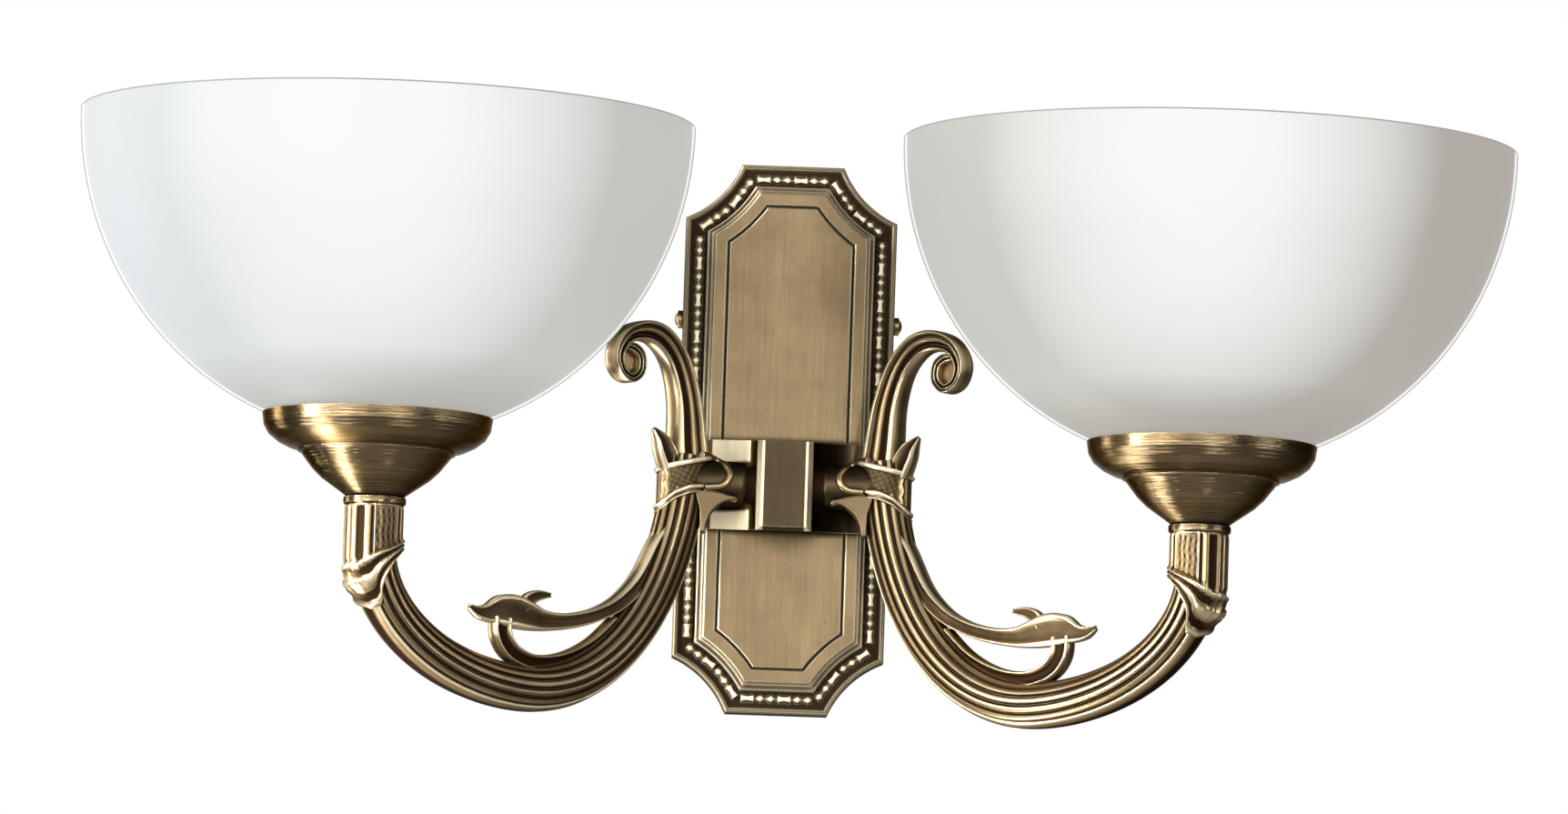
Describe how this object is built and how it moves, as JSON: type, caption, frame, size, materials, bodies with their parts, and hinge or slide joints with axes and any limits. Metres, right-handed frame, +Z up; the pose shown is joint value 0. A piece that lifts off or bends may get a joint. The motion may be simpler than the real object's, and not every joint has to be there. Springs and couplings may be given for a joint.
{
  "type": "wall lamp",
  "caption": "Wall lamp in antiqued brass with reeded, scrolled arms reaching out from a beaded plate to upturned satin glass bowls.",
  "frame": {"origin": "middle of the wall bracket's two screw slots, on the wall plane", "axes": "+X to the lamp's left as it hangs (the viewer's right), +Y into the wall, +Z up; the lamp stands out towards -Y"},
  "size_m": [0.449, 0.203, 0.1828],
  "materials": {
    "plate_brass": "antiqued, brushed on the panel",
    "cast_brass": "antiqued casting, dark in the hollows",
    "spun_brass": "spun, brushed round",
    "screw_brass": "antiqued",
    "plain_brass": "machined",
    "contact_brass": "bright",
    "zinc_steel": "zinc plated",
    "white_nylon": "moulded",
    "cream_plastic": "moulded",
    "soft_washer": "soft",
    "satin_glass": "satin white",
    "nickel_cap": "nickel plated",
    "opal_glass": "opal",
    "lead_sleeve": "heat resistant sleeve"
  },
  "bodies": {
    "lamp": {"back_plate": "plate_brass", "wall_bracket": "zinc_steel", "terminal_block": "white_nylon", "terminal_screw": "zinc_steel", "earth_screw": "plain_brass", "centre_block": "cast_brass", "block_screws": "zinc_steel", "arm_left": "cast_brass", "arm_right": "cast_brass", "arm_nipple_left": "plain_brass", "arm_nipple_right": "plain_brass", "arm_nut_left": "plain_brass", "arm_nut_right": "plain_brass", "neck_collar_left": "spun_brass", "neck_collar_right": "spun_brass", "fitter_cup_left": "spun_brass", "fitter_cup_right": "spun_brass", "holder_nipple_left": "plain_brass", "holder_nipple_right": "plain_brass", "holder_nut_left": "plain_brass", "holder_nut_right": "plain_brass", "lampholder_left": "cream_plastic", "lampholder_right": "cream_plastic", "thread_shell_left": "contact_brass", "thread_shell_right": "contact_brass", "centre_contact_left": "contact_brass", "centre_contact_right": "contact_brass", "glass_shade_left": "satin_glass", "glass_shade_right": "satin_glass", "shade_washer_left": "soft_washer", "shade_washer_right": "soft_washer", "lead_left": "lead_sleeve", "lead_right": "lead_sleeve"},
    "side_screw_left": {"side_screw_left": "screw_brass"},
    "side_screw_right": {"side_screw_right": "screw_brass"},
    "shade_ring_left": {"shade_ring_left": "cream_plastic"},
    "shade_ring_right": {"shade_ring_right": "cream_plastic"},
    "bulb_left": {"bulb_cap_left": "nickel_cap", "bulb_glass_left": "opal_glass"},
    "bulb_right": {"bulb_cap_right": "nickel_cap", "bulb_glass_right": "opal_glass"}
  },
  "joints": [
    {"name": "turn_side_screw_left", "type": "hinge", "parent": "lamp", "child": "side_screw_left", "pos_m": [-0.0338, -0.0037, 0], "axis": [-1, 0, 0], "range_deg": [0, 2050]},
    {"name": "turn_side_screw_right", "type": "hinge", "parent": "lamp", "child": "side_screw_right", "pos_m": [0.0338, -0.0037, 0], "axis": [1, 0, 0], "range_deg": [0, 2050]},
    {"name": "turn_shade_ring_left", "type": "hinge", "parent": "lamp", "child": "shade_ring_left", "pos_m": [-0.12852, -0.10699, -0.0443], "axis": [0, 0, 1], "range_deg": [0, 1080]},
    {"name": "turn_shade_ring_right", "type": "hinge", "parent": "lamp", "child": "shade_ring_right", "pos_m": [0.12852, -0.10699, -0.0443], "axis": [0, 0, 1], "range_deg": [0, 1080]},
    {"name": "turn_bulb_left", "type": "hinge", "parent": "lamp", "child": "bulb_left", "pos_m": [-0.12852, -0.10699, -0.0468], "axis": [0, 0, 1], "range_deg": [0, 1440]},
    {"name": "turn_bulb_right", "type": "hinge", "parent": "lamp", "child": "bulb_right", "pos_m": [0.12852, -0.10699, -0.0468], "axis": [0, 0, 1], "range_deg": [0, 1440]}
  ]
}
